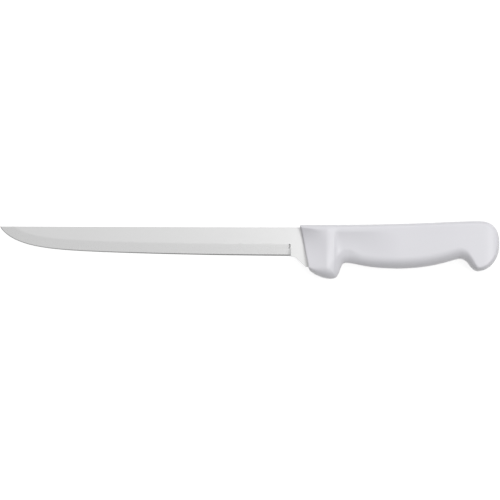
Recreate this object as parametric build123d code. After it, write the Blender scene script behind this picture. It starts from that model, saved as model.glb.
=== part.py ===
"""Fillet knife: a narrow ground steel blade whose tang is moulded into a one-piece white handle.

The knife lies on its side. X runs from the tip (-X) to the butt (+X), Y from the cutting edge to the spine (+Y),
and Z is up, through the thickness. The origin is under the middle of the knife, on the surface it lies on.
Inside this script the datum is the point where the handle's front meets the blade's spine, on the mid-plane:
x is measured from it towards the butt, y from the spine line upwards, and z from the mid-plane.
All sizes are in millimetres, and all angles in degrees.
"""

import math
import os

from build123d import *

# Overall lengths, from the handle's front at the spine
blade_length = 203.2
handle_length = 134.9

# Blade blank
blade_thickness = 1.7
tip_thickness = 0.9
tip_rise = 0.7
spine_round = 0.25
heel_depth = 19.45
heel_setback = 6.3

# Cutting edge: how far its line sweeps up before the tip, and how suddenly it turns up there
edge_sweep_share = 0.26
edge_turn_power = 12.9
edge_turn_root = 0.74
edge_curve_end_share = 0.985
edge_points = 16

# Ground surfaces on each side
bevel_width = 8.0
edge_bevel_width = 0.8
shoulder_thickness = 0.44
edge_thickness = 0.08
grind_stations = 18
grind_fan_share = 0.62

# Groove that the grinding wheel leaves where the bevel stops
groove_radius = 1.6
groove_depth = 0.4

# Bare steel between the bevel and the handle
unground_step = 0.45
flare_setback = 4.0
flare_angle = 43.0
flare_radius = 4.5
flare_cover = 1.8

# Tang inside the handle
seat_depth = 4.0
tang_cover = 6.5
tang_end_cover = 30.0
tang_root_radius = 2.0
tang_end_round_share = 0.4
anchor_hole_diameter = 6.0
anchor_hole_count = 3

# Handle seen from the side: heights above and depths below the blade's spine line
front_rise = 1.7
crest_rise = 4.19
front_corner_depth = 28.6
guard_depth = 34.8
finger_notch_depth = 24.0
belly_depth = 27.9
hook_notch_depth = 21.3
butt_depth = 29.7
butt_nose_depth = 12.4
front_lean = 10.5
front_round = 1.1

# Where those places lie, as shares of the handle's length
top_flat_end_share = 0.121
guard_share = 0.148
finger_notch_share = 0.24
belly_share = 0.499
hook_notch_share = 0.797
butt_low_share = 0.893
crest_share = 0.896

# Handle seen from above: full widths, and where they lie
front_width = 15.6
ridge_width = 20.4
neck_width = 17.4
swell_width = 19.0
waist_width = 18.4
butt_width = 20.4
ridge_start_share = 0.115
ridge_end_share = 0.19
neck_share = 0.26
waist_share = 0.77
butt_wide_share = 0.86
butt_side_end_share = 0.915

# Handle seen from the end: how far the rounding of its long edges reaches onto the flat sides
top_round_reach = 6.0
underside_round_reach = 9.5
round_limit_share = 0.45

# Thumb dishes in the sides, in front of the ridge and behind it: their rims, deepest places and far ends
front_dish_depth = 3.0
front_dish_rim = (17.5, -2.2)
front_dish_middle = (6.0, -13.0)
front_dish_end = (-30.0, -27.0)
front_dish_low_share = 0.45
grip_dish_depth = 1.5
grip_dish_rim = (27.5, -2.6)
grip_dish_middle = (46.0, -12.0)
grip_dish_end = (105.0, -22.0)
grip_dish_low_share = 0.6
dish_softness_share = 0.1

# How square the rounded shapes are: 2 is an ellipse, more is squarer
top_round_power = 3.0
underside_round_power = 2.4
butt_top_power = 2.5
butt_underside_power = 1.9
butt_side_power = 2.7

# Shapes of the handle's lines between those places: slowness at the start and at the end, and lateness
FRONT_TO_GUARD = (0.95, 1.3, 0.48)
GUARD_TO_NOTCH = (1.3, 4.77, 20.3)
NOTCH_TO_BELLY = (1.25, 1.63, 0.38)
BELLY_TO_HOOK = (1.33, 1.25, 2.61)
HOOK_TO_BUTT = (2.13, 1.84, 1.13)
TOP_TO_CREST = (1.53, 1.52, 2.56)
EVEN = (1.8, 1.8, 1.0)

# How many cross-sections and points carry the handle's surface
front_steps = 8
notch_steps = 9
grip_steps = 7
hook_steps = 8
butt_steps = 9
butt_end_share = 0.999
section_half_points = 22
section_fine_steps = 240

# How far a cut runs past what it cuts
overrun = 3.0

# Derived sizes and places
half_thickness = blade_thickness / 2
heel_x = -heel_setback
edge_run = blade_length - heel_setback
lean = math.radians(front_lean)
ricasso_depth = heel_depth + unground_step
flare_depth = front_corner_depth - flare_cover
shoulder_x = flare_depth * math.tan(lean) + seat_depth
tang_top = front_rise - tang_cover
tang_root_bottom = tang_cover - finger_notch_depth
tang_end_bottom = tang_cover - hook_notch_depth
tang_end = handle_length - tang_end_cover


def spine_y(x):
    """Height of the blade's spine line, which rises evenly from the shoulder to the tip."""
    return tip_rise * (shoulder_x - x) / (shoulder_x + blade_length)


def blade_half_thickness(x):
    """Half the blade's thickness between its flat sides, which close up evenly from the heel to the tip."""
    share = (heel_x - x) / edge_run
    return (blade_thickness + (tip_thickness - blade_thickness) * share) / 2


def edge_point(share):
    """A point of the cutting edge, at a share of the way from the heel to the tip."""
    x = heel_x - edge_run * share
    sweep = 1 - edge_sweep_share * share**2
    turn = (1 - share**edge_turn_power) ** edge_turn_root
    return (x, spine_y(x) - heel_depth * sweep * turn)


def edge_curve():
    """The cutting edge from the heel to the tip, with its points closer together towards the tip."""
    shares = [edge_curve_end_share * math.sin(math.pi / 2 * i / edge_points) for i in range(edge_points + 1)]
    return Spline(*[edge_point(share) for share in shares], edge_point(1), tangents=[(-1, 0), (-1, 2)])


def blank_outline():
    """The outline of the blade and tang except the cutting edge, from the tip round to the heel."""
    end_radius = (tang_top - tang_end_bottom) * tang_end_round_share
    flare_run = (flare_depth - ricasso_depth) / math.tan(math.radians(flare_angle))
    corners = [
        ((shoulder_x, spine_y(shoulder_x)), 0),
        ((shoulder_x, tang_top), tang_root_radius),
        ((tang_end, tang_top), end_radius),
        ((tang_end, tang_end_bottom), end_radius),
        ((shoulder_x, tang_root_bottom), tang_root_radius),
        ((shoulder_x, -flare_depth), 0),
        ((flare_run - flare_setback, -flare_depth), 0),
        ((-flare_setback, -ricasso_depth), flare_radius),
        ((heel_x, -ricasso_depth), 0),
    ]
    points = [edge_point(1), *[point for point, _ in corners], edge_point(0)]
    return FilletPolyline(*points, radius=[radius for _, radius in corners])


def thickness_wedge():
    """A solid taller than the blade, with its sides parallel along the tang and closing up towards the tip."""
    far_x = -blade_length - overrun
    far_half = blade_half_thickness(far_x)
    near_x = tang_end + overrun
    plan = Polyline(
        (far_x, far_half),
        (heel_x, half_thickness),
        (near_x, half_thickness),
        (near_x, -half_thickness),
        (heel_x, -half_thickness),
        (far_x, -far_half),
        close=True,
    )
    return extrude(Plane.XZ * make_face(plan), flare_depth + overrun, both=True)


def blade_blank(edge):
    """The flat blade and tang before grinding, with the spine's long edges rounded."""
    blank = extrude(make_face([*blank_outline().edges(), *edge.edges()]), half_thickness, both=True)
    blank &= thickness_wedge()
    spine_edges = [
        e
        for e in blank.edges()
        if e.length > blade_thickness and all(abs(v.Y - spine_y(v.X)) < spine_round for v in e.vertices())
    ]
    return fillet(spine_edges, spine_round)


def grind_section(point, tangent):
    """The section that grinding takes off the +Z side at a point of the edge, as seen square to the edge.

    The sections turn less than the edge does, so that they stay clear of each other round the tip.
    """
    turn = grind_fan_share * math.atan2(tangent.Y, -tangent.X)
    across = Vector(math.sin(turn), math.cos(turn))
    square = Vector(tangent.Y, -tangent.X).normalized()
    stretch = 1 / across.dot(square)
    edge_half = edge_thickness / 2
    shoulder_half = shoulder_thickness / 2
    flat_half = blade_half_thickness(point.X)
    edge_rise = shoulder_half - edge_half
    bevel_rise = (flat_half - shoulder_half) * edge_bevel_width / (bevel_width - edge_bevel_width)
    far = bevel_width + edge_bevel_width
    profile = [
        (-edge_bevel_width, edge_half - edge_rise),
        (edge_bevel_width, shoulder_half),
        (far, flat_half + bevel_rise),
        (far, blade_thickness),
        (-edge_bevel_width, blade_thickness),
    ]
    return Wire.make_polygon([point + across * (distance * stretch) + Vector(0, 0, z) for distance, z in profile])


def grind_cutter(edge):
    """What grinding takes off the +Z side, from the heel to past the tip."""
    stations = [math.sin(math.pi / 2 * i / grind_stations) for i in range(grind_stations + 1)]
    sections = [grind_section(edge @ u, edge % u) for u in stations]
    sections.append(grind_section(edge @ 1 + (edge % 1) * overrun, edge % 1))
    return Solid.make_loft(sections)


def groove_cutter():
    """The round-ended groove at the heel on the +Z side, where the wheel stopped."""
    half_chord = math.sqrt(groove_radius**2 - (groove_radius - groove_depth) ** 2)
    x = heel_x - half_chord
    z = half_thickness - groove_depth + groove_radius
    top_y = bevel_width - half_chord - heel_depth
    length = top_y + ricasso_depth + overrun
    shaft = Pos(x, top_y - length / 2, z) * Rot(90, 0, 0) * Cylinder(groove_radius, length)
    return shaft + Pos(x, top_y, z) * Sphere(groove_radius)


def anchor_holes():
    """The holes along the middle of the tang that the handle's plastic fills."""
    pitch = (tang_end - shoulder_x) / (anchor_hole_count + 1)
    holes = []
    for i in range(anchor_hole_count):
        share = (i + 1) / (anchor_hole_count + 1)
        bottom = tang_root_bottom + (tang_end_bottom - tang_root_bottom) * share
        hole = Cylinder(anchor_hole_diameter / 2, 2 * blade_thickness)
        holes.append(Pos(shoulder_x + pitch * (i + 1), (tang_top + bottom) / 2, 0) * hole)
    return holes


def make_blade():
    """The ground blade with its tang."""
    edge = edge_curve()
    side_cuts = [grind_cutter(edge), groove_cutter()]
    return blade_blank(edge) - side_cuts - [cut.mirror(Plane.XY) for cut in side_cuts] - anchor_holes()


def ease(share, slow_start, slow_end, lateness):
    """An S-curve from 0 to 1: the powers set how gently it leaves and arrives."""
    share = min(max(share, 0.0), 1.0)
    up = share**slow_start
    return up / (up + lateness * (1 - share) ** slow_end)


def eased_line(x, places, shapes):
    """The value at x of a line that eases from each (share of the handle's length, value) to the next."""
    along = x / handle_length
    for (start, first), (end, second), shape in zip(places, places[1:], shapes):
        if along <= end:
            return first + (second - first) * ease((along - start) / (end - start), *shape)
    return places[-1][1]


def rounded_end(x, start, power):
    """1 along the handle, closing to 0 at the butt in a rounded end that starts at a share of its length."""
    share = max((x / handle_length - start) / (1 - start), 0.0)
    return (1 - share**power) ** (1 / power)


def handle_top(x):
    """Height of the handle's top line above the spine line."""
    places = [(top_flat_end_share, front_rise), (crest_share, crest_rise)]
    above_nose = eased_line(x, places, [TOP_TO_CREST]) + butt_nose_depth
    return above_nose * rounded_end(x, crest_share, butt_top_power) - butt_nose_depth


def handle_underside(x):
    """Height of the handle's underside, which is below zero."""
    places = [
        (front_corner_depth * math.tan(lean) / handle_length, -front_corner_depth),
        (guard_share, -guard_depth),
        (finger_notch_share, -finger_notch_depth),
        (belly_share, -belly_depth),
        (hook_notch_share, -hook_notch_depth),
        (butt_low_share, -butt_depth),
    ]
    shapes = [FRONT_TO_GUARD, GUARD_TO_NOTCH, NOTCH_TO_BELLY, BELLY_TO_HOOK, HOOK_TO_BUTT]
    below_nose = eased_line(x, places, shapes) + butt_nose_depth
    return below_nose * rounded_end(x, butt_low_share, butt_underside_power) - butt_nose_depth


def handle_half_width(x):
    """Half the handle's width at x, between its flat sides."""
    places = [
        (0, front_width),
        (ridge_start_share, ridge_width),
        (ridge_end_share, ridge_width),
        (neck_share, neck_width),
        (belly_share, swell_width),
        (waist_share, waist_width),
        (butt_wide_share, butt_width),
    ]
    width = eased_line(x, places, [EVEN] * (len(places) - 1))
    return width / 2 * rounded_end(x, butt_side_end_share, butt_side_power)


def smooth(value, start, end):
    """0 at the start, 1 at the end and an even S-curve between them."""
    share = min(max((value - start) / (end - start), 0.0), 1.0)
    return share**2 * (3 - 2 * share)


def dish(x, y, depth, rim, middle, far_end, low_share):
    """Depth of a thumb dish at x, y: a soft-rimmed bowl that fades to its far end and is shallower low down."""
    across = max((x - middle[0]) / (rim[0] - middle[0]), 0.0)
    up = max((y - middle[1]) / (rim[1] - middle[1]), 0.0)
    bowl = 1 - math.hypot(across**2, up**2)
    bowl = (bowl + math.hypot(bowl, dish_softness_share)) / 2
    along = 1 - smooth(x, middle[0], far_end[0])
    down = 1 - (1 - low_share) * smooth(y, middle[1], far_end[1])
    return depth * bowl * along * down


def rounding(distance, reach, power):
    """How much of the half width is left at a distance from an edge: a squared-off quarter oval, then the flat."""
    left = min(max(1 - distance / reach, 0.0), 1.0)
    return (1 - left**power) ** (1 / power)


def section_side(x, y, top, bottom):
    """Half the handle's width at a height y of its cross-section."""
    top_reach = min(top_round_reach, (top - bottom) * round_limit_share)
    bottom_reach = min(underside_round_reach, (top - bottom) * round_limit_share)
    front = dish(x, y, front_dish_depth, front_dish_rim, front_dish_middle, front_dish_end, front_dish_low_share)
    grip = dish(x, y, grip_dish_depth, grip_dish_rim, grip_dish_middle, grip_dish_end, grip_dish_low_share)
    above = rounding(top - y, top_reach, top_round_power)
    below = rounding(y - bottom, bottom_reach, underside_round_power)
    return (handle_half_width(x) - front - grip) * above * below


def evenly_spread(path, count):
    """Points at equal distances along a path, from its start to just before its end."""
    travelled = [0.0]
    for here, there in zip(path, path[1:]):
        travelled.append(travelled[-1] + math.dist(here, there))
    spread = []
    at = 0
    for i in range(count):
        goal = travelled[-1] * i / count
        while travelled[at + 1] < goal:
            at += 1
        share = (goal - travelled[at]) / (travelled[at + 1] - travelled[at])
        spread.append([a + (b - a) * share for a, b in zip(path[at], path[at + 1])])
    return spread


def handle_section(x):
    """The handle's closed cross-section at x: flat sides with rounded ends, from the underside round and back."""
    top, bottom = handle_top(x), handle_underside(x)
    middle, half_height = (top + bottom) / 2, (top - bottom) / 2
    heights = [middle - half_height * math.cos(math.pi * i / section_fine_steps) for i in range(section_fine_steps + 1)]
    up = evenly_spread([(y, section_side(x, y, top, bottom)) for y in heights], section_half_points)
    side = [(x, y, -half) for y, half in up]
    back = [(x, y, half) for y, half in up[:0:-1]]
    points = [*side, (x, top, 0), *back]
    steps = [i / len(points) for i in range(len(points) + 1)]
    return Wire([Edge.make_spline(points, periodic=True, parameters=steps)])


def handle_stations():
    """Where the cross-sections stand, close together where the outline turns quickly."""
    stretches = [
        (0, guard_share, front_steps),
        (guard_share, finger_notch_share, notch_steps),
        (finger_notch_share, belly_share, grip_steps),
        (belly_share, hook_notch_share, grip_steps),
        (hook_notch_share, butt_low_share, hook_steps),
    ]
    shares = [start + (end - start) * i / steps for start, end, steps in stretches for i in range(steps)]
    end_run = butt_end_share - butt_low_share
    shares += [butt_low_share + end_run * math.sin(math.pi / 2 * i / butt_steps) for i in range(butt_steps + 1)]
    return [-overrun, *[share * handle_length for share in shares]]


def make_handle(blade):
    """The moulded handle, formed round the blade's tang and through its anchor holes."""
    body = Solid.make_loft([handle_section(x) for x in handle_stations()])
    front = Plane((0, 0, 0), x_dir=(0, 0, 1), z_dir=(math.cos(lean), math.sin(lean), 0))
    body = split(body, bisect_by=front, keep=Keep.TOP)
    body = fillet(body.faces().sort_by(Axis.X)[0].edges(), front_round)
    return body - blade


def lay_down(shape):
    """Moves a shape from the datum to the knife's own frame, on its side over the origin."""
    middle_x = (handle_length - blade_length) / 2
    middle_y = (crest_rise - guard_depth) / 2
    return Pos(-middle_x, -middle_y, max(ridge_width, butt_width) / 2) * shape


def main():
    os.makedirs("parts", exist_ok=True)
    blade = make_blade()
    export_step(lay_down(blade), "parts/blade.step")
    export_step(lay_down(make_handle(blade)), "parts/handle.step")


main()
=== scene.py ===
"""Builds the looks of a fillet knife: a narrow ground steel blade in a one-piece moulded white handle.

The knife lies on its side. Shapes are worked out from a datum, the point on the mid-plane where the handle's
front meets the blade's spine: x runs towards the butt, y from the cutting edge to the spine, and z out of the
blade's side. All sizes are in metres, and all angles in radians.
"""

import math

import bpy
import numpy as np
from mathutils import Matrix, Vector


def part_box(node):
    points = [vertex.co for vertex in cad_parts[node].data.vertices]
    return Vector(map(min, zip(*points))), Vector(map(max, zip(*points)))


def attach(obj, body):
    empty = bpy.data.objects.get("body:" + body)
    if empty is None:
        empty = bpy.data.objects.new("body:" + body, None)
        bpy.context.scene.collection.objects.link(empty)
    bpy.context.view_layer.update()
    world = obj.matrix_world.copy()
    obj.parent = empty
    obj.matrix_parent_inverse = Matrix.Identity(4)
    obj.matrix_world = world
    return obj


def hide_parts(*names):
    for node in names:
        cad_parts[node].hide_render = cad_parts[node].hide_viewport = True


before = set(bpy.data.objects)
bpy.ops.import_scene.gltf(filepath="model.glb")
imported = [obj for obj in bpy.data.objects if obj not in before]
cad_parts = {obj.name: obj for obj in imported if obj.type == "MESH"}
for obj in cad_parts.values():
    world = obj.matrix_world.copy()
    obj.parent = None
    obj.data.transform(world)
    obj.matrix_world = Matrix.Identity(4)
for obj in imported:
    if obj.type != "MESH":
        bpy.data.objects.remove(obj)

bl_info = {
    "name": "Fillet Knife",
    "version": (1, 0, 0),
    "blender": (4, 5, 0),
    "location": "View3D > Sidebar > Knife",
    "description": "Builds a fillet knife with a ground steel blade and a moulded handle",
    "category": "Object",
}

MM = 0.001
BLADE_LENGTH = 203.2 * MM
HANDLE_LENGTH = 134.9 * MM
TIP_RISE = 0.7 * MM

# How many columns, rows and sections carry the surfaces
HANDLE_COLUMNS, FRONT_COLUMNS, HALF_ROWS, CAP_RINGS = 620, 12, 64, 6
HIDDEN_SECTIONS, CLOSE_SECTIONS, GROUND_SECTIONS = 45, 50, 420
BEVEL_ROWS, FLAT_ROWS, SPINE_ROWS = 24, 14, 5

# How finely the handle's outline is followed, and how many points are measured against it at once
FINE_COLUMNS, FINE_NOSE_COLUMNS, OUTLINE_POINTS, FOLLOWING_STEPS = 3000, 1500, 1600, 25
BLOCK_SIZE = 2000


def datum():
    """Where the handle's front meets the blade's spine, from the frame's own blade."""
    low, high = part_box("blade")
    return np.array([low.x + BLADE_LENGTH, high.y - TIP_RISE, (low.z + high.z) / 2])


DATUM = datum()


# Meshes


def build_mesh(name, points, faces):
    """A smooth-shaded object from points measured from the datum and faces turned outwards.

    The enclosed volume is the sum of the signed pyramids from the origin to each face's triangles. Where it
    is negative, the faces are turned over.
    """
    quads = np.array([face if len(face) == 4 else [*face, face[2]] for face in faces])
    corners = points[quads]
    first = np.einsum("ij,ij->i", corners[:, 0], np.cross(corners[:, 1], corners[:, 2]))
    second = np.einsum("ij,ij->i", corners[:, 0], np.cross(corners[:, 2], corners[:, 3]))
    if (first + second).sum() < 0:
        faces = [face[::-1] for face in faces]
    mesh = bpy.data.meshes.new(name)
    mesh.from_pydata(points + DATUM, [], faces)
    mesh.shade_smooth()
    piece = bpy.data.objects.new(name, mesh)
    bpy.context.scene.collection.objects.link(piece)
    return piece


def closed_skin(name, rings, start_pole, end_pole):
    """A closed surface through rings of points.

    Neighbouring points of neighbouring rings make the quads, and a fan of triangles closes each end at its
    pole.
    """
    count, around = rings.shape[:2]
    points = np.concatenate([rings.reshape(-1, 3), [start_pole, end_pole]])
    near = np.arange(around)
    beside = (near + 1) % around
    ring = np.arange(count - 1)[:, None] * around
    quads = np.stack([ring + near, ring + beside, ring + around + beside, ring + around + near], axis=-1)
    start, end = count * around, count * around + 1
    last = (count - 1) * around
    start_fan = np.stack([np.full(around, start), beside, near], axis=-1)
    end_fan = np.stack([np.full(around, end), last + near, last + beside], axis=-1)
    faces = quads.reshape(-1, 4).tolist() + start_fan.tolist() + end_fan.tolist()
    return build_mesh(name, points, faces)


def store(piece, name, values):
    """Keeps one number for each point on the mesh, for its material to read."""
    attribute = piece.data.attributes.new(name, "FLOAT", "POINT")
    attribute.data.foreach_set("value", np.ascontiguousarray(values, dtype=np.float32))


# Lines


def blend(start, end, share):
    """The value that lies a share of the way from start to end."""
    return start + (end - start) * share


def quarter_turn(count):
    """A count of angles in even steps from 0 to a quarter turn."""
    return np.linspace(0, math.pi / 2, count)


def ease(share, slow_start, slow_end, lateness):
    """An S-curve from 0 to 1.

    It is s to the power of the slow start, over itself plus the lateness times 1 - s to the power of the slow
    end.
    """
    share = np.clip(share, 0, 1)
    rise = share**slow_start
    return rise / (rise + lateness * (1 - share) ** slow_end)


def smooth(value, start, end):
    """0 before start, 1 after end, and 3 s squared - 2 s cubed between them."""
    share = np.clip((value - start) / (end - start), 0, 1)
    return share * share * (3 - 2 * share)


def soft_floor(value, softness):
    """The value where it is above 0, easing to 0 below.

    It is half the sum of v and the square root of v squared plus the softness squared.
    """
    return (value + np.sqrt(value**2 + softness**2)) / 2


def eased_line(x, marks, shapes):
    """A line along the handle that eases from each mark's value to the next, each time in its own shape.

    A mark is a share of the handle's length and the value there.
    """
    along = x / HANDLE_LENGTH
    line = np.full(np.shape(x), marks[0][1], float)
    for (start, first), (end, second), shape in zip(marks, marks[1:], shapes):
        eased = blend(first, second, ease((along - start) / (end - start), *shape))
        line = np.where(along > start, eased, line)
    return line


def rounded_end(x, start, power):
    """1 along the handle, closing to 0 at the butt: (1 - s to the power) to one over the power."""
    share = np.clip((x / HANDLE_LENGTH - start) / (1 - start), 0, 1)
    return (1 - share**power) ** (1 / power)


def distance_to_line(x, y, line_x, line_y):
    """Distance of each point from the nearest of a line's short straight steps.

    Each point is dropped square onto a step, no further than its ends. Points are taken in blocks, so that
    the table of all points against all steps stays small.
    """
    start = np.stack([line_x[:-1], line_y[:-1]]).astype(np.float32)
    step = np.stack([np.diff(line_x), np.diff(line_y)]).astype(np.float32)
    points = np.stack([x.ravel(), y.ravel()]).astype(np.float32)
    blocks = np.array_split(points, max(1, points.shape[1] // BLOCK_SIZE), axis=1)
    nearest = [distance_squared(block, start, step).min(1) for block in blocks]
    return np.sqrt(np.concatenate(nearest)).reshape(x.shape).astype(float)


def distance_squared(points, start, step):
    """Squared distance of every point from every step.

    A tiny number keeps a step of no length from dividing by 0.
    """
    tiny = np.float32(1e-18)
    away = points[:, :, None] - start[:, None, :]
    share = np.clip((away * step[:, None, :]).sum(0) / ((step**2).sum(0) + tiny), 0, 1)
    return ((away - share * step[:, None, :]) ** 2).sum(0)


# Handle

# The front's lean, and the height at which it stands at x = 0
FRONT_LEAN = math.radians(11.5)
FRONT_MEETS = 1.1 * MM

# Where the handle's lines pass their marks, as shares of its length
TOP_FLAT_END, CREST = 0.121, 0.896
GUARD, FINGER_NOTCH, BELLY, HOOK_NOTCH, BUTT_LOW = 0.148, 0.24, 0.499, 0.797, 0.893
RIDGE, NECK, BUTT_WIDE, BUTT_SIDE_END = 0.132, 0.2, 0.88, 0.915

# Shapes of the lines between those marks: slowness at the start and at the end, and lateness
TOP_TO_CREST = (1.53, 1.52, 2.56)
FRONT_TO_GUARD = (0.95, 1.3, 0.48)
GUARD_TO_NOTCH = (1.3, 4.77, 20.3)
NOTCH_TO_BELLY = (1.25, 1.63, 0.38)
BELLY_TO_HOOK = (1.33, 1.25, 2.61)
HOOK_TO_BUTT = (2.13, 1.84, 1.13)
EVEN = (1.8, 1.8, 1.0)

# The slope behind the ridge: how far in front of the ridge it starts, its length, how much shorter it gets
# between two depths, and its shape
SLOPE_LEAD, SLOPE_LENGTH, SLOPE_SHORTENING = 0.5 * MM, 9.0 * MM, 3.5 * MM
SLOPE_SHORTENS = (2 * MM, 22 * MM)
SLOPE_SHAPE = (1.2, 1.6, 1)

# Softness of the ridge's top, and of the dishes' upper rims
RIDGE_SOFTNESS, UPPER_RIM_SOFTNESS = 0.07, 0.05

# Each dish: the place where it is deepest and the one where it runs out, the share of its depth that is left
# low down, and how square and how soft its fall is beside the ridge
FRONT_DISH = {
    "middle": (0, -11 * MM), "end": (-60 * MM, -27 * MM),
    "low_share": 0.3, "power": 1.1, "softness": 0.12,
}
GRIP_DISH = {
    "middle": (37 * MM, -16 * MM), "end": (68 * MM, -25 * MM),
    "low_share": 0.8, "power": 10.0, "softness": 0.05,
}

# Where the dishes' rims lie: the grip dish's x and height, and the front dish's height, which sinks by an
# amount over a stretch of x
GRIP_RIM = (23.0 * MM, -2.8 * MM)
FRONT_RIM_HEIGHT, FRONT_RIM_SINKING = 0.3 * MM, 2.5 * MM
FRONT_RIM_SINKS = (0, 16 * MM)

# Stretches of x over which the front's lean fades out, the underside's rounding grows behind the front, more
# of it comes and goes at the finger notch, and the butt's own rounding takes over
LEAN_FADES = (0, 26 * MM)
UNDERSIDE_GROWS = (5 * MM, 18 * MM)
NOTCH_GROWS, NOTCH_FADES = (22 * MM, 28 * MM), (32 * MM, 42 * MM)
BUTT_GROWS = (108 * MM, 121 * MM)

# Shares of a column's height between which the underside's rounding gives way to the top edge's
ROUNDING_CHANGES = (0.25, 0.75)

# How the sides close towards the butt's nose: a rounded end's power, and a power of that again
NOSE_POWER, NOSE_FLATTENING = 2.6, 0.35

# How much weaker the rounding of the front's rim gets, and the depths between which it does
RIM_WEAKENING = 0.6
RIM_WEAKENS = (6 * MM, 22 * MM)


def handle_top(x, sizes):
    """Height of the handle's top line: an eased rise to the crest, rounded down to the butt's nose."""
    line = eased_line(x, [(TOP_FLAT_END, sizes.front_rise), (CREST, sizes.crest_rise)], [TOP_TO_CREST])
    return (line + sizes.nose_depth) * rounded_end(x, CREST, sizes.butt_top_power) - sizes.nose_depth


def handle_underside(x, sizes):
    """Height of the underside, eased from mark to mark and rounded up to the butt's nose.

    The marks are the front's lower corner, the guard, finger notch, belly, hook notch and butt.
    """
    front = sizes.front_depth * math.tan(FRONT_LEAN) / HANDLE_LENGTH
    marks = [
        (front, -sizes.front_depth),
        (GUARD, -sizes.guard_depth),
        (FINGER_NOTCH, -sizes.notch_depth),
        (BELLY, -sizes.belly_depth),
        (HOOK_NOTCH, -sizes.hook_depth),
        (BUTT_LOW, -sizes.butt_depth),
    ]
    shapes = [FRONT_TO_GUARD, GUARD_TO_NOTCH, NOTCH_TO_BELLY, BELLY_TO_HOOK, HOOK_TO_BUTT]
    line = eased_line(x, marks, shapes)
    return (line + sizes.nose_depth) * rounded_end(x, BUTT_LOW, sizes.butt_underside_power) - sizes.nose_depth


def column_line(along, y):
    """x of a column at height y: its place, less the height times the tangent of its lean.

    The first column leans with the front, and behind the guard the columns are upright.
    """
    return along - math.tan(FRONT_LEAN) * (1 - smooth(along, *LEAN_FADES)) * (y - FRONT_MEETS)


def column_ends(along, sizes):
    """Heights where each column meets the top line and the underside.

    The column is followed in a few rounds: each takes the line's height at the place that the last one found.
    """
    top = np.full(along.shape, sizes.front_rise)
    bottom = np.full(along.shape, -sizes.front_depth)
    for _ in range(FOLLOWING_STEPS):
        top = handle_top(column_line(along, top), sizes)
        bottom = handle_underside(column_line(along, bottom), sizes)
    return top, bottom


def handle_columns(sizes):
    """Places of the handle's columns: even along its outline, and close together at the rounded front.

    Even steps of the way along the top line and the underside are looked up in a much finer set of columns.
    At the front, the columns stand at the rounding's radius times 1 - the cosine of even steps of a quarter
    turn.
    """
    fine = np.concatenate([
        np.linspace(sizes.front_round, BUTT_LOW * HANDLE_LENGTH, FINE_COLUMNS),
        HANDLE_LENGTH * blend(BUTT_LOW, 1, np.sin(quarter_turn(FINE_NOSE_COLUMNS)))[1:],
    ])
    top, bottom = column_ends(fine, sizes)
    run = np.hypot(np.diff(fine), np.diff(top)) + np.hypot(np.diff(fine), np.diff(bottom))
    travelled = np.concatenate([[0], np.cumsum(run)])
    even = np.interp(np.linspace(0, travelled[-1], HANDLE_COLUMNS + 1), travelled, fine)[:-1]
    front = sizes.front_round * (1 - np.cos(quarter_turn(FRONT_COLUMNS + 1)))[:-1]
    return np.concatenate([front, even])


def outline(sizes):
    """x and y of the handle's outline, along the top line to the butt's nose and back along the underside.

    Its points stand at the sine of even steps of a quarter turn, close together at the nose.
    """
    fine = HANDLE_LENGTH * np.sin(quarter_turn(OUTLINE_POINTS))
    top, bottom = column_ends(fine, sizes)
    line_x = np.concatenate([column_line(fine, top), column_line(fine, bottom)[::-1]])
    return line_x, np.concatenate([top, bottom[::-1]])


def dish(x, y, rim, depth, middle, end, low_share, power, softness):
    """Depth of a thumb dish.

    Along x it falls away from the middle to the rim as 1 - a to the power, and upwards as 1 - u squared, with
    a and u as shares of the way to the rim, and both have a soft rim. Away from the rim it runs out between
    the middle and the end, and down to the end's height it fades to a share of its depth.
    """
    beside, run_out = x - middle[0], end[0] - middle[0]
    across = np.clip(beside / (rim[0] - middle[0]), 0, None)
    up = np.clip((y - middle[1]) / (rim[1] - middle[1]), 0, None)
    fall = soft_floor(1 - across**power, softness) * soft_floor(1 - up**2, UPPER_RIM_SOFTNESS)
    along = 1 - smooth(np.abs(beside), 0, abs(run_out)) * (beside * run_out > 0)
    down = blend(1, low_share, smooth(-y, -middle[1], -end[1]))
    return depth * fall * along * down


def handle_half_width(x, y, sizes):
    """Half the handle's width before its edges are rounded.

    It grows evenly from the front to the soft top of the ridge and falls behind it over an eased slope, which
    is shorter near the underside. From there it eases to the belly's width and to the butt's. A dish in front
    of the ridge and a longer one behind it are taken off.
    """
    ridge = RIDGE * HANDLE_LENGTH
    rise = (sizes.ridge_width - sizes.front_width) * soft_floor(1 - x / ridge, RIDGE_SOFTNESS)
    slope = SLOPE_LENGTH - SLOPE_SHORTENING * smooth(-y, *SLOPE_SHORTENS)
    fall = (sizes.ridge_width - sizes.neck_width) * ease((x - ridge + SLOPE_LEAD) / slope, *SLOPE_SHAPE)
    swell, butt = sizes.swell_width - sizes.neck_width, sizes.butt_width - sizes.neck_width
    growth = eased_line(x, [(NECK, 0), (BELLY, swell), (BUTT_WIDE, butt)], [EVEN, EVEN])
    half = (sizes.ridge_width - rise - fall + growth) / 2
    front_rim = (ridge, FRONT_RIM_HEIGHT - FRONT_RIM_SINKING * smooth(x, *FRONT_RIM_SINKS))
    front = dish(x, y, front_rim, sizes.front_dish_depth, **FRONT_DISH)
    grip = dish(x, y, GRIP_RIM, sizes.grip_dish_depth, **GRIP_DISH)
    return half - front - grip


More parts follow.
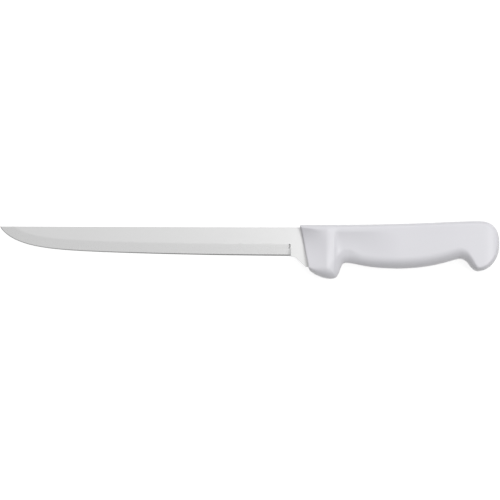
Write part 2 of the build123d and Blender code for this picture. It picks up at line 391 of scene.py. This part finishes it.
def rounding(x, upper, sizes):
    """How far the edges' rounding reaches onto the side, and its power.

    Both blend from the underside's to the top edge's by the share upper. Below, the reach blends from that at
    the front's lower corner to the underside's, with more added at the finger notch. Round the butt it blends
    into the butt's own reach.
    """
    reach = blend(sizes.front_reach, sizes.underside_reach, smooth(x, *UNDERSIDE_GROWS))
    reach += sizes.notch_reach * smooth(x, *NOTCH_GROWS) * (1 - smooth(x, *NOTCH_FADES))
    reach = blend(reach, sizes.top_reach, upper)
    reach = blend(reach, sizes.butt_reach, smooth(x, *BUTT_GROWS))
    return reach, blend(sizes.underside_power, sizes.top_power, upper)


def handle_rings(sizes):
    """Rings of points round the handle, one for each column.

    Down a column the points lie at (1 + cos a) / 2 of its height, for a from 0 to half a turn. The half width
    there is that of the flat side times a squared-off quarter oval: with q the distance to the outline over
    the rounding's reach, and p its power, 1 - (1 - q) to the p, to one over p. The other half of the ring is
    its mirror image. At the front each ring shrinks by r minus the square root of r squared less (r - s)
    squared, s being the distance from the front, and low down its width shrinks by less.
    """
    columns = handle_columns(sizes)
    top, bottom = (ends[:, None] for ends in column_ends(columns, sizes))
    share = (1 + np.cos(np.linspace(0, math.pi, HALF_ROWS + 1))) / 2
    y = blend(bottom, top, share)
    x = column_line(columns[:, None], y)
    reach, power = rounding(x, smooth(share, *ROUNDING_CHANGES), sizes)
    inward = np.clip(distance_to_line(x, y, *outline(sizes)) / reach, 0, 1)
    inward[:, [0, -1]] = 0
    half = handle_half_width(x, y, sizes) * (1 - (1 - inward) ** power) ** (1 / power)
    half = half * rounded_end(x, BUTT_SIDE_END, NOSE_POWER) ** NOSE_FLATTENING
    left = np.clip(sizes.front_round - columns, 0, None)
    shrink = (sizes.front_round - np.sqrt(sizes.front_round**2 - left**2))[:, None]
    y = np.clip(y, bottom + shrink, top - shrink)
    half = np.clip(half - shrink * (1 - RIM_WEAKENING * smooth(-y, *RIM_WEAKENS)), 0, None)
    near_side = np.stack([x, y, half], -1)
    far_side = near_side[:, HALF_ROWS - 1:0:-1] * [1, 1, -1]
    return np.concatenate([near_side, far_side], axis=1)


def front_cap(ring):
    """Rings that close the flat front, innermost first, and the middle that they close round.

    They are the first ring drawn in towards its middle in even steps.
    """
    middle = ring.mean(0)
    step = 1 / (CAP_RINGS + 1)
    shares = np.linspace(step, 1 - step, CAP_RINGS)[:, None, None]
    return blend(middle, ring, shares), middle


def make_handle(sizes):
    """The handle as one closed skin."""
    rings = handle_rings(sizes)
    cap, middle = front_cap(rings[0])
    nose = np.array([HANDLE_LENGTH, -sizes.nose_depth, 0])
    return closed_skin("moulded_handle", np.concatenate([cap, rings]), middle, nose)


# Blade

# Where the spine's line and the skin start inside the handle, and between where sections stand close together
SPINE_START, HIDDEN_END = 9.0 * MM, 8.5 * MM
CLOSE_START, CLOSE_END = -5.0 * MM, -9.0 * MM

# Past the heel, towards the handle: where the sharpened edge ends, the grind has climbed to the flat side,
# and the lower line has stepped down to the bare steel's
EDGE_END, CLIMB_END, STEP_END = -1.0 * MM, 0.05 * MM, 0.6 * MM

# The grinding wheel's mark: how far in front of the climb's end it stands, how much further it would stand at
# the edge, the width of its steep side, and between which shares of the bevel's width it comes and goes
MARK_SETBACK, MARK_LEAN, MARK_STEEP_WIDTH = 1.1 * MM, 2.0 * MM, 0.15 * MM
MARK_COMES, MARK_GOES = (0.55, 0.72), (0.93, 0.99)

# Rows up the edge bevel, as shares of its width, and how near the borders the first and last rows of the
# ground bevel and of the flat lie, as shares of their widths
EDGE_ROW_SHARES = (0, 0.1, 0.9, 1)
BEVEL_GAP_SHARE, FLAT_GAP_SHARE = 0.012, 0.01

# The share of the flat side's half thickness over which the bevel's finish comes in
FINISH_FADE_SHARE = 0.06


def spine_line(x):
    """Height of the spine, which rises evenly from inside the handle to the tip."""
    return TIP_RISE * (SPINE_START - x) / (SPINE_START + BLADE_LENGTH)


def along_grind(x, sizes):
    """How far a place is along the ground length, as a share: 0 up to the heel and 1 at the tip."""
    return np.clip((-sizes.heel_setback - x) / (BLADE_LENGTH - sizes.heel_setback), 0, 1)


def cutting_edge(x, sizes):
    """Height of the cutting edge: the heel's depth, less a sweep that grows as s squared, times a turn.

    The turn, which lifts the edge to the tip, is (1 - s to the turn power) to the turn root.
    """
    share = along_grind(x, sizes)
    turn = (1 - share**sizes.turn_power) ** sizes.turn_root
    return spine_line(x) - sizes.heel_depth * (1 - sizes.sweep_share * share**2) * turn


def unground_foot(x, sizes):
    """Height of the bare steel's lower line: level, a round bend, a slope to the guard, and level again."""
    bend = sizes.flare_radius * math.tan(sizes.flare_angle / 2)
    start = -sizes.flare_setback - bend
    level = -sizes.heel_depth - sizes.unground_step
    end = -sizes.flare_setback + bend * math.cos(sizes.flare_angle)
    into = np.clip(x - start, 0, end - start)
    arc = level - sizes.flare_radius + np.sqrt(sizes.flare_radius**2 - into**2)
    slope = arc - np.clip(x - end, 0, None) * math.tan(sizes.flare_angle)
    return np.maximum(slope, -sizes.flare_depth)


def section_places():
    """x of each cross-section's foot, from inside the handle to just short of the tip.

    Sections stand in even steps up to the end of the grind, closer together through it, and from there at the
    sine of even steps of a quarter turn, which crowds them towards the tip.
    """
    hidden = np.linspace(HIDDEN_END, CLOSE_START, HIDDEN_SECTIONS + 1)[:-1]
    close = np.linspace(CLOSE_START, CLOSE_END, CLOSE_SECTIONS + 1)[:-1]
    ground = CLOSE_END - (BLADE_LENGTH + CLOSE_END) * np.sin(quarter_turn(GROUND_SECTIONS + 1))[:-1]
    return np.concatenate([hidden, close, ground])


def blade_sections(sizes):
    """For each cross-section: x and height of its foot, the edge's height, its turn and its stretch.

    The foot is on the cutting edge and, behind the heel, on the bare steel's lower line. A section stands
    upright at the heel, and along the edge it is turned by a share of the edge's own turn. The stretch, one
    over the cosine of what is left of that turn, makes a width square to the edge a distance up the section.
    """
    x = section_places()
    edge_end, step_end = EDGE_END - sizes.heel_setback, STEP_END - sizes.heel_setback
    edge = cutting_edge(x, sizes)
    foot = np.where(x < -sizes.heel_setback, edge, unground_foot(x, sizes))
    foot = blend(edge, foot, smooth(x, edge_end, step_end))
    edge_turn = np.arctan(-np.gradient(edge, x))
    turn = np.where(x < edge_end, sizes.fan_share * edge_turn, 0)
    stretch = np.where(x < edge_end, 1 / np.cos(turn - edge_turn), 1)
    return [values[:, None] for values in (x, foot, edge, turn, stretch)]


def close_ended(count, gap):
    """Shares in even steps from 0 to 1, without the 0 itself, and one more at a gap from each end."""
    return np.concatenate([[gap], np.linspace(0, 1, count)[1:-1], [1 - gap, 1]])


def row_distances(land, bevel, stretch, reach, sizes):
    """Distances of a section's points from its foot, none further than the spine.

    Land is the edge bevel's width, bevel that of both bevels, and reach the distance to the spine. Rows lie
    in even steps up the ground bevel and the flat, with close ones beside each border, and over the round of
    the spine at the sine of even steps of a quarter turn.
    """
    rises = blend(land, bevel, close_ended(BEVEL_ROWS, BEVEL_GAP_SHARE))
    ground = np.concatenate([land * EDGE_ROW_SHARES, rises], axis=1) * stretch
    flat_start = np.minimum(ground[:, -1:], reach)
    flat_end = np.maximum(reach - sizes.spine_radius, flat_start)
    flat = blend(flat_start, flat_end, close_ended(FLAT_ROWS, FLAT_GAP_SHARE))
    over = blend(flat_end, reach, np.sin(quarter_turn(SPINE_ROWS + 1))[1:])
    return np.concatenate([np.minimum(ground, reach), flat, over], axis=1)


def ground_side(x, height, land, bevel, side, share, sizes):
    """Half the thickness of the ground steel at a height square to the edge.

    It grows evenly over the edge bevel, from the edge's thickness to the shoulder's, and over the ground
    bevel, from there to the flat side's. Where the grind stops, it climbs to the flat side as the square of a
    share that grows evenly over the stop's length.
    """
    low = sizes.edge_thickness / 2
    shoulder = blend(sizes.shoulder_thickness, sizes.tip_shoulder_thickness, share) / 2
    edge_bevel = blend(low, shoulder, np.clip(height, 0, None) / land)
    ground_bevel = blend(shoulder, side, np.clip((height - land) / (bevel - land), 0, None))
    half = np.where(height < land, edge_bevel, ground_bevel)
    left = CLIMB_END - sizes.heel_setback - x
    return blend(half, side, np.clip(1 - left / sizes.stop_length, 0, 1) ** 2)


def rounded_side(x, y, side, sizes):
    """Half the thickness beside the spine, where the side turns into a round.

    It is the side's less the radius r, plus the square root of r squared less h squared, h being the height
    above the round's start.
    """
    height = np.clip(sizes.spine_radius - (spine_line(x) - y), 0, sizes.spine_radius)
    return side - sizes.spine_radius + np.sqrt(sizes.spine_radius**2 - height**2)


def wheel_mark(x, up, sizes):
    """Depth of the mark that the grinding wheel leaves where the grind stops.

    It is full on a line that leans towards the tip lower down, with up the share of the bevel's width. From
    there it falls evenly to 0, steeply on the tip's side and gently on the handle's. It keeps to the bevel's
    upper part.
    """
    behind = x - (CLIMB_END - sizes.heel_setback - MARK_SETBACK - MARK_LEAN * (1 - up))
    away = np.where(behind > 0, behind / sizes.mark_width, -behind / MARK_STEEP_WIDTH)
    return sizes.mark_depth * np.clip(1 - away, 0, 1) * smooth(up, *MARK_COMES) * (1 - smooth(up, *MARK_GOES))


def blade_rings(sizes):
    """Rings of points round the blade's cross-sections, and how much of the bevel's finish each point has.

    Up a section, the half thickness is the least of the flat side, the ground bevels and the round along the
    spine, less the wheel's mark. The other side is its mirror image, and the foot and the spine are closed by
    points on the mid-plane. The finish comes in where the ground steel gets thinner than the flat side.
    """
    foot_x, foot_y, edge, turn, stretch = blade_sections(sizes)
    share = along_grind(foot_x, sizes)
    land = blend(sizes.edge_bevel_width, sizes.tip_edge_bevel_width, share)
    bevel = sizes.bevel_width * (1 - sizes.bevel_taper_share * share)
    spine_slope = -TIP_RISE / BLADE_LENGTH
    reach = (spine_line(foot_x) - foot_y) / (np.cos(turn) - spine_slope * np.sin(turn))
    distance = row_distances(land, bevel, stretch, reach, sizes)
    x = foot_x + np.sin(turn) * distance
    y = foot_y + np.cos(turn) * distance

    height = distance / stretch + (foot_y - edge)
    side = blend(sizes.thickness / 2, sizes.tip_thickness / 2, along_grind(x, sizes))
    ground = ground_side(x, height, land, bevel, side, share, sizes)
    half = np.minimum(np.minimum(side, ground), rounded_side(x, y, side, sizes))
    half = half - wheel_mark(x, height / bevel, sizes)

    none = np.zeros_like(foot_x)
    near_side = np.stack([x, y, half], -1)
    far_side = near_side[:, ::-1] * [1, 1, -1]
    foot = np.stack([foot_x, foot_y, none], -1)
    spine = np.stack([x[:, -1:], y[:, -1:], none], -1)
    finish = np.clip((side - ground) / (side * FINISH_FADE_SHARE), 0, 1)
    finish = np.concatenate([finish[:, :1], finish, none, finish[:, ::-1]], axis=1)
    return np.concatenate([foot, near_side, spine, far_side], axis=1), finish


def make_blade(sizes):
    """The blade as one closed skin, from its hidden end inside the handle to the tip."""
    rings, finish = blade_rings(sizes)
    hidden = rings[0].mean(0)
    tip = np.array([-BLADE_LENGTH, TIP_RISE, 0])
    piece = closed_skin("ground_blade", rings, hidden, tip)
    store(piece, "ground", np.append(finish.ravel(), [0, 1]))
    return piece


# Materials

# Grain of the finishes, in waves per metre: the brushed lines along x, y and z, and the others all round
BRUSHED_LINES, ALL_ROUND = (5200, 260, 260), (1, 1, 1)
STEEL_PATCHES, PLASTIC_CLOUDS, PLASTIC_SPECKLE = 28, 35, 1500
SPECKLE_HARDNESS = 0.6

# How much lighter or darker, and how much rougher or smoother, the grain makes a finish
LINE_TONE, PATCH_TONE, CLOUD_TONE = 0.02, 0.012, 0.01
FLAT_VARIATION, BEVEL_VARIATION, SATIN_VARIATION = 0.03, 0.02, 0.05

# Strength and depth of the finishes' relief, and how strongly the plastic bends light
LINE_RELIEF, SPECKLE_RELIEF = (0.25, 0.02 * MM), (0.2, 0.04 * MM)
PLASTIC_IOR = 1.49


def new_material(name):
    """A node material with one shader, to which patterns can be linked."""
    material = bpy.data.materials.new(name)
    material.use_nodes = True
    tree = material.node_tree
    tree.nodes.clear()
    shader = tree.nodes.new("ShaderNodeBsdfPrincipled")
    output = tree.nodes.new("ShaderNodeOutputMaterial")
    tree.links.new(shader.outputs["BSDF"], output.inputs["Surface"])
    return material, tree, shader


def add_node(tree, kind, links=None, **values):
    """Adds a node and sets its values. Each named input is linked to a node's output or set to a number."""
    node = tree.nodes.new(kind)
    for key, value in values.items():
        setattr(node, key, value)
    for socket, source in (links or {}).items():
        if hasattr(source, "is_output"):
            tree.links.new(source, node.inputs[socket])
        else:
            node.inputs[socket].default_value = source
    return node


def grain(tree, coordinates, scale, stretch, detail, roughness=0.5):
    """Noise on the object's own coordinates, stretched by a factor along each axis."""
    turned = add_node(tree, "ShaderNodeMapping", {"Vector": coordinates, "Scale": stretch})
    return add_node(
        tree,
        "ShaderNodeTexNoise",
        {"Vector": turned.outputs["Vector"], "Scale": scale, "Detail": detail, "Roughness": roughness},
    ).outputs["Fac"]


def vary(tree, value, middle, amount):
    """Turns a value from 0 to 1 into one that lies round a middle, by up to an amount either way."""
    return add_node(
        tree, "ShaderNodeMapRange", {"Value": value, "To Min": middle - amount, "To Max": middle + amount}
    ).outputs["Result"]


def set_colour(tree, shader, middle, tone):
    """Gives the shader a colour: the middle one times 1 plus the tone."""
    tint = add_node(tree, "ShaderNodeMath", {0: tone, 1: 1.0}).outputs["Value"]
    tinted = add_node(tree, "ShaderNodeVectorMath", {0: middle, 1: tint}, operation="MULTIPLY")
    tree.links.new(tinted.outputs["Vector"], shader.inputs["Base Color"])


def set_relief(tree, shader, height, strength, depth):
    """Gives the shader a fine relief of a strength and a depth."""
    bump = add_node(tree, "ShaderNodeBump", {"Height": height, "Strength": strength, "Distance": depth})
    tree.links.new(bump.outputs["Normal"], shader.inputs["Normal"])


def steel_material(look):
    """Satin stainless steel: fine lines across the blade, faint patches and a smoother ground bevel."""
    material, tree, shader = new_material("blade_steel")
    here = add_node(tree, "ShaderNodeTexCoord").outputs["Object"]
    ground = add_node(tree, "ShaderNodeAttribute", attribute_name="ground").outputs["Fac"]
    lines = grain(tree, here, 1.0, BRUSHED_LINES, 3)
    patches = vary(tree, grain(tree, here, STEEL_PATCHES, ALL_ROUND, 2), 0, PATCH_TONE)
    tone = add_node(tree, "ShaderNodeMath", {0: vary(tree, lines, 0, LINE_TONE), 1: patches})
    set_colour(tree, shader, look.steel_colour[:], tone.outputs["Value"])
    shader.inputs["Metallic"].default_value = 1.0
    flat = vary(tree, lines, look.steel_roughness, FLAT_VARIATION)
    fine = vary(tree, lines, look.bevel_roughness, BEVEL_VARIATION)
    mix = add_node(tree, "ShaderNodeMix", {"Factor": ground, "A": flat, "B": fine})
    tree.links.new(mix.outputs["Result"], shader.inputs["Roughness"])
    set_relief(tree, shader, lines, *LINE_RELIEF)
    return material


def plastic_material(look):
    """Satin moulded plastic: a slightly cool white with a fine sprayed texture and faint clouding."""
    material, tree, shader = new_material("handle_plastic")
    here = add_node(tree, "ShaderNodeTexCoord").outputs["Object"]
    clouds = grain(tree, here, PLASTIC_CLOUDS, ALL_ROUND, 2)
    speckle = grain(tree, here, PLASTIC_SPECKLE, ALL_ROUND, 3, SPECKLE_HARDNESS)
    set_colour(tree, shader, look.plastic_colour[:], vary(tree, clouds, 0, CLOUD_TONE))
    satin = vary(tree, speckle, look.plastic_roughness, SATIN_VARIATION)
    tree.links.new(satin, shader.inputs["Roughness"])
    shader.inputs["IOR"].default_value = PLASTIC_IOR
    set_relief(tree, shader, speckle, *SPECKLE_RELIEF)
    return material


def dress(piece, material, node):
    """Gives a piece its material and ties it to the frame in place of the solid that it stands for."""
    piece.data.materials.append(material)
    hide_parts(node)
    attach(piece, "root")


# Settings


def length(name, default, description):
    """A size that a user can change, given in millimetres and kept in metres."""
    return bpy.props.FloatProperty(
        name=name, description=description, default=default * MM, min=0, precision=5, unit="LENGTH"
    )


def number(name, default, description, low=0.0, high=100.0):
    """A plain number that a user can change."""
    return bpy.props.FloatProperty(name=name, description=description, default=default, min=low, max=high)


def colour(name, default, description):
    """A colour that a user can change."""
    return bpy.props.FloatVectorProperty(
        name=name, description=description, default=default, size=3, min=0, max=1, subtype="COLOR"
    )


class BladeSizes(bpy.types.PropertyGroup):
    """Sizes of the blade."""

    thickness: length("Thickness", 1.7, "Thickness at the heel")
    tip_thickness: length("Tip thickness", 0.9, "Thickness at the tip")
    spine_radius: length("Spine radius", 0.25, "Radius of the spine's long edges")
    heel_depth: length("Heel depth", 19.25, "Depth from the spine to the edge at the heel")
    heel_setback: length("Heel setback", 6.3, "Distance from the handle to the heel")
    sweep_share: number("Sweep", 0.26, "Share of the depth that the edge loses on its way to the tip")
    turn_power: number("Turn power", 12.9, "How suddenly the edge turns up at the tip")
    turn_root: number("Turn root", 0.74, "How blunt the tip is")
    bevel_width: length("Bevel width", 8.0, "Width of the ground bevel at the heel")
    bevel_taper_share: number("Bevel taper", 0.12, "Share of its width that the bevel loses towards the tip")
    edge_bevel_width: length("Edge bevel width", 0.8, "Width of the small bevel along the edge, at the heel")
    tip_edge_bevel_width: length("Tip edge bevel width", 0.5, "Width of that small bevel at the tip")
    shoulder_thickness: length("Shoulder thickness", 1.06, "Thickness just above the edge bevel, at the heel")
    tip_shoulder_thickness: length("Tip shoulder thickness", 0.4, "Thickness just above it, at the tip")
    edge_thickness: length("Edge thickness", 0.08, "Thickness of the edge itself")
    stop_length: length("Stop length", 2.4, "Length of the climb to the flat side where the grind stops")
    mark_depth: length("Mark depth", 0.68, "Depth of the grinding wheel's mark on that climb")
    mark_width: length("Mark width", 1.0, "Width of that mark's gentle side")
    fan_share: number("Fan", 0.62, "How far the grind turns with the edge at the tip")
    unground_step: length("Unground step", 0.45, "How far the bare steel reaches below the edge")
    flare_setback: length("Flare setback", 4.0, "Distance from the handle to where the bare steel flares out")
    flare_radius: length("Flare radius", 4.5, "Radius of the bend in the bare steel's lower line")
    flare_depth: length("Flare depth", 26.8, "Depth of the bare steel at the handle")
    flare_angle: bpy.props.FloatProperty(
        name="Flare angle", description="Slope of the bare steel's lower line", default=math.radians(43),
        subtype="ANGLE",
    )


class HandleSizes(bpy.types.PropertyGroup):
    """Sizes of the handle."""

    front_rise: length("Front rise", 1.8, "Height of the top line above the spine at the front")
    crest_rise: length("Crest rise", 4.3, "Height of the top line above the spine at the butt")
    nose_depth: length("Nose depth", 12.4, "Depth of the butt's nose below the spine")
    front_depth: length("Front depth", 28.6, "Depth of the front's lower corner")
    guard_depth: length("Guard depth", 34.8, "Depth of the guard")
    notch_depth: length("Notch depth", 24.0, "Depth of the finger notch")
    belly_depth: length("Belly depth", 27.9, "Depth of the belly")
    hook_depth: length("Hook notch depth", 21.3, "Depth of the notch before the butt")
    butt_depth: length("Butt depth", 29.7, "Depth of the butt")
    butt_top_power: number("Butt top", 2.5, "How square the butt's top corner is")
    butt_underside_power: number("Butt underside", 1.9, "How square the butt's lower corner is")
    front_width: length("Front width", 17.6, "Width at the front")
    ridge_width: length("Ridge width", 20.4, "Width at the ridge above the guard")
    neck_width: length("Neck width", 19.0, "Width behind the ridge")
    swell_width: length("Swell width", 19.4, "Width at the belly")
    butt_width: length("Butt width", 20.4, "Width of the butt")
    front_round: length("Front round", 1.1, "Radius of the front's rim")
    top_reach: length("Top reach", 3.0, "How far the top edge's rounding reaches onto the side")
    front_reach: length("Front reach", 1.8, "How far the rounding reaches at the front's lower corner")
    underside_reach: length("Underside reach", 8.0, "How far the underside's rounding reaches onto the side")
    notch_reach: length("Notch reach", 3.5, "How much further it reaches between guard and finger notch")
    butt_reach: length("Butt reach", 3.3, "How far the butt's rounding reaches onto the side")
    top_power: number("Top rounding", 3.0, "How square the top edge's rounding is: 2 is an oval")
    underside_power: number("Underside rounding", 2.1, "How square the underside's rounding is: 2 is an oval")
    front_dish_depth: length("Front dish", 4.3, "Depth of the dish in front of the ridge")
    grip_dish_depth: length("Grip dish", 1.9, "Depth of the dish behind the ridge")


class KnifeLook(bpy.types.PropertyGroup):
    """Colours and finishes."""

    steel_colour: colour("Steel", (0.745, 0.745, 0.745), "Colour of the steel")
    steel_roughness: number("Flat roughness", 0.32, "Roughness of the blade's flat sides", 0.0, 1.0)
    bevel_roughness: number("Bevel roughness", 0.28, "Roughness of the ground bevel", 0.0, 1.0)
    plastic_colour: colour("Plastic", (0.83, 0.825, 0.865), "Colour of the handle")
    plastic_roughness: number("Plastic roughness", 0.3, "Roughness of the handle", 0.0, 1.0)


class StageSettings(bpy.types.PropertyGroup):
    """Camera, lamps, sky and floor."""

    camera_height: length("Camera height", 1881.5, "Height of the camera above the blade")
    lens: number("Lens", 200, "Focal length in millimetres", 10, 500)
    top_lamp_power: number("Top lamp power", 2.2, "Power of the lamp overhead in watts")
    top_lamp_size: length("Top lamp size", 350, "Side of the lamp overhead")
    side_lamp_power: number("Side lamp power", 4.3, "Power of the lamp on the spine's side in watts")
    side_lamp_size: length("Side lamp size", 600, "Side of the lamp on the spine's side")
    lamp_distance: length("Lamp distance", 1700, "Distance of the lamps from the knife")
    sky_low: number("Sky low", 0.1, "Brightness of the sky on the dark side")
    sky_high: number("Sky high", 0.89, "Brightness of the sky on the bright side")
    patch: number("Bright patch", 0.45, "How much brighter the sky is in the middle of its bright side")
    floor_colour: colour("Floor", (0.4, 0.4, 0.4), "Colour of the floor")
    floor_glow: number("Floor glow", 0.82, "How much whiter the floor looks than its colour")


# Operators


class KNIFE_OT_blade(bpy.types.Operator):
    """Makes the ground blade"""

    bl_idname = "knife.blade"
    bl_label = "Make Blade"

    def execute(self, context):
        scene = context.scene
        dress(make_blade(scene.knife_blade), steel_material(scene.knife_look), "blade")
        return {"FINISHED"}


class KNIFE_OT_handle(bpy.types.Operator):
    """Makes the moulded handle"""

    bl_idname = "knife.handle"
    bl_label = "Make Handle"

    def execute(self, context):
        scene = context.scene
        dress(make_handle(scene.knife_handle), plastic_material(scene.knife_look), "handle")
        return {"FINISHED"}


class KNIFE_OT_stage(bpy.types.Operator):
    """Sets up the camera, the lamps, the sky and the floor"""

    bl_idname = "knife.stage"
    bl_label = "Set Stage"

    def execute(self, context):
        stage = context.scene.knife_stage
        set_camera(stage)
        set_lamps(stage)
        set_sky(stage)
        set_floor(stage)
        context.scene.view_settings.view_transform = "Standard"
        return {"FINISHED"}


class KNIFE_PT_panel(bpy.types.Panel):
    """Lists the knife's operators and settings"""

    bl_idname = "KNIFE_PT_panel"
    bl_label = "Fillet Knife"
    bl_space_type = "VIEW_3D"
    bl_region_type = "UI"
    bl_category = "Knife"

    def draw(self, context):
        for piece in ("blade", "handle", "stage"):
            box = self.layout.box()
            box.operator("knife." + piece)
            settings = getattr(context.scene, "knife_" + piece)
            for name in settings.__annotations__:
                box.prop(settings, name)
        for name in context.scene.knife_look.__annotations__:
            self.layout.prop(context.scene.knife_look, name)


# Stage

# The camera's place beside the datum, its sensor's width in millimetres, and how far it sees
EYE_X, EYE_Y = -33.97 * MM, -15.27 * MM
SENSOR_WIDTH, FAR_END = 36, 20

# Directions from the knife to the lamps and to the sky's bright side, and the cosines of the angle from that
# side at the rim of its brighter patch and where the patch is brightest
TOP_LAMP_FROM = (0.32, 0.01, 0.947)
SIDE_LAMP_FROM = (0.12, 0.47, 0.875)
BRIGHT_SIDE = (0.27, 0.36, 0.893)
PATCH_RIM, PATCH_MIDDLE = 0.866, 0.981

# The upward shares of a direction at which the white wall at the horizon starts to fade out and is gone
WALL_FADES = (0.1, 0.14)

FLOOR_REACH, FLOOR_ROUGHNESS = 4.0, 0.9
WHITE = (1, 1, 1, 1)


def set_camera(stage):
    """A long lens straight above the knife, with the tip to the left and the spine up."""
    camera = bpy.data.cameras.new("camera")
    camera.lens = stage.lens
    camera.sensor_width = SENSOR_WIDTH
    camera.clip_end = FAR_END
    eye = bpy.data.objects.new("camera", camera)
    eye.location = (DATUM[0] + EYE_X, DATUM[1] + EYE_Y, DATUM[2] + stage.camera_height)
    bpy.context.scene.collection.objects.link(eye)
    bpy.context.scene.camera = eye


def add_lamp(name, direction, size, power, distance):
    """A soft square lamp in a direction from the knife, turned to face it."""
    lamp = bpy.data.lights.new(name, "AREA")
    lamp.shape = "SQUARE"
    lamp.size = size
    lamp.energy = power
    holder = bpy.data.objects.new(name, lamp)
    holder.location = [part * distance for part in direction]
    holder.rotation_euler = (0, math.acos(direction[2]), math.atan2(direction[1], direction[0]))
    bpy.context.scene.collection.objects.link(holder)
    return holder


def set_lamps(stage):
    """A lamp overhead, towards the butt, which lights the ridge and the heel, and a fill on the spine's side.

    The fill leaves no glint, so the blade's flat side doesn't burn out where it would mirror the lamp.
    """
    distance = stage.lamp_distance
    add_lamp("top_lamp", TOP_LAMP_FROM, stage.top_lamp_size, stage.top_lamp_power, distance)
    fill = add_lamp("side_lamp", SIDE_LAMP_FROM, stage.side_lamp_size, stage.side_lamp_power, distance)
    fill.visible_glossy = False


def seen_directly(tree):
    """1 for what the camera sees directly, in a reflection or through glass, and 0 for light on the knife."""
    path = add_node(tree, "ShaderNodeLightPath").outputs
    seen = add_node(tree, "ShaderNodeMath", {0: path["Is Camera Ray"], 1: path["Is Glossy Ray"]})
    return add_node(
        tree, "ShaderNodeMath", {0: seen.outputs[0], 1: path["Is Transmission Ray"]}, use_clamp=True
    ).outputs[0]


def set_sky(stage):
    """A sky that grows evenly brighter towards its bright side, where a wide patch is brighter still.

    A low white wall stands all round at the horizon. Only the camera and reflections see it.
    """
    world = bpy.data.worlds.new("sky")
    bpy.context.scene.world = world
    world.use_nodes = True
    tree = world.node_tree
    tree.nodes.clear()
    direction = add_node(tree, "ShaderNodeTexCoord").outputs["Generated"]
    towards = add_node(
        tree, "ShaderNodeVectorMath", {0: direction, 1: BRIGHT_SIDE}, operation="DOT_PRODUCT"
    ).outputs["Value"]
    level = add_node(
        tree, "ShaderNodeMapRange", {"Value": towards, "To Min": stage.sky_low, "To Max": stage.sky_high}
    )
    patch = add_node(
        tree,
        "ShaderNodeMapRange",
        {"Value": towards, "From Min": PATCH_RIM, "From Max": PATCH_MIDDLE, "To Max": stage.patch},
        interpolation_type="SMOOTHSTEP",
    )
    total = add_node(tree, "ShaderNodeMath", {0: level.outputs["Result"], 1: patch.outputs["Result"]})
    soft = add_node(tree, "ShaderNodeBackground", {"Color": WHITE, "Strength": total.outputs["Value"]})
    white = add_node(tree, "ShaderNodeBackground", {"Color": WHITE, "Strength": 1.0})
    height = add_node(tree, "ShaderNodeSeparateXYZ", {0: direction}).outputs["Z"]
    wall = add_node(
        tree,
        "ShaderNodeMapRange",
        {"Value": height, "From Min": WALL_FADES[0], "From Max": WALL_FADES[1], "To Min": 1.0, "To Max": 0.0},
    ).outputs["Result"]
    seen = add_node(tree, "ShaderNodeMath", {0: seen_directly(tree), 1: wall}, operation="MULTIPLY")
    mix = add_node(tree, "ShaderNodeMixShader", {0: seen.outputs[0], 1: soft.outputs[0], 2: white.outputs[0]})
    output = add_node(tree, "ShaderNodeOutputWorld")
    tree.links.new(mix.outputs[0], output.inputs["Surface"])


def set_floor(stage):
    """A large pale floor under the knife that shows white and keeps a soft shadow."""
    mesh = bpy.data.meshes.new("floor")
    corners = [(-1, -1), (1, -1), (1, 1), (-1, 1)]
    mesh.from_pydata([(x * FLOOR_REACH, y * FLOOR_REACH, 0) for x, y in corners], [], [(0, 1, 2, 3)])
    floor = bpy.data.objects.new("floor", mesh)
    bpy.context.scene.collection.objects.link(floor)
    material, tree, shader = new_material("pale_floor")
    shader.inputs["Base Color"].default_value = (*stage.floor_colour, 1)
    shader.inputs["Roughness"].default_value = FLOOR_ROUGHNESS
    shader.inputs["Specular IOR Level"].default_value = 0.0
    seen = seen_directly(tree)
    glow = add_node(tree, "ShaderNodeMath", {0: seen, 1: stage.floor_glow}, operation="MULTIPLY")
    shader.inputs["Emission Color"].default_value = WHITE
    tree.links.new(glow.outputs[0], shader.inputs["Emission Strength"])
    mesh.materials.append(material)


CLASSES = (
    BladeSizes, HandleSizes, KnifeLook, StageSettings,
    KNIFE_OT_blade, KNIFE_OT_handle, KNIFE_OT_stage, KNIFE_PT_panel,
)


def register():
    """Adds the classes, and the settings to the scene."""
    for item in CLASSES:
        bpy.utils.register_class(item)
    bpy.types.Scene.knife_blade = bpy.props.PointerProperty(type=BladeSizes)
    bpy.types.Scene.knife_handle = bpy.props.PointerProperty(type=HandleSizes)
    bpy.types.Scene.knife_look = bpy.props.PointerProperty(type=KnifeLook)
    bpy.types.Scene.knife_stage = bpy.props.PointerProperty(type=StageSettings)


def unregister():
    """Takes the settings and the classes away again."""
    del bpy.types.Scene.knife_blade
    del bpy.types.Scene.knife_handle
    del bpy.types.Scene.knife_look
    del bpy.types.Scene.knife_stage
    for item in reversed(CLASSES):
        bpy.utils.unregister_class(item)


def main():
    """Makes the knife and its stage."""
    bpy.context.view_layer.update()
    register()
    bpy.ops.knife.blade()
    bpy.ops.knife.handle()
    bpy.ops.knife.stage()


if __name__ == "__main__":
    main()
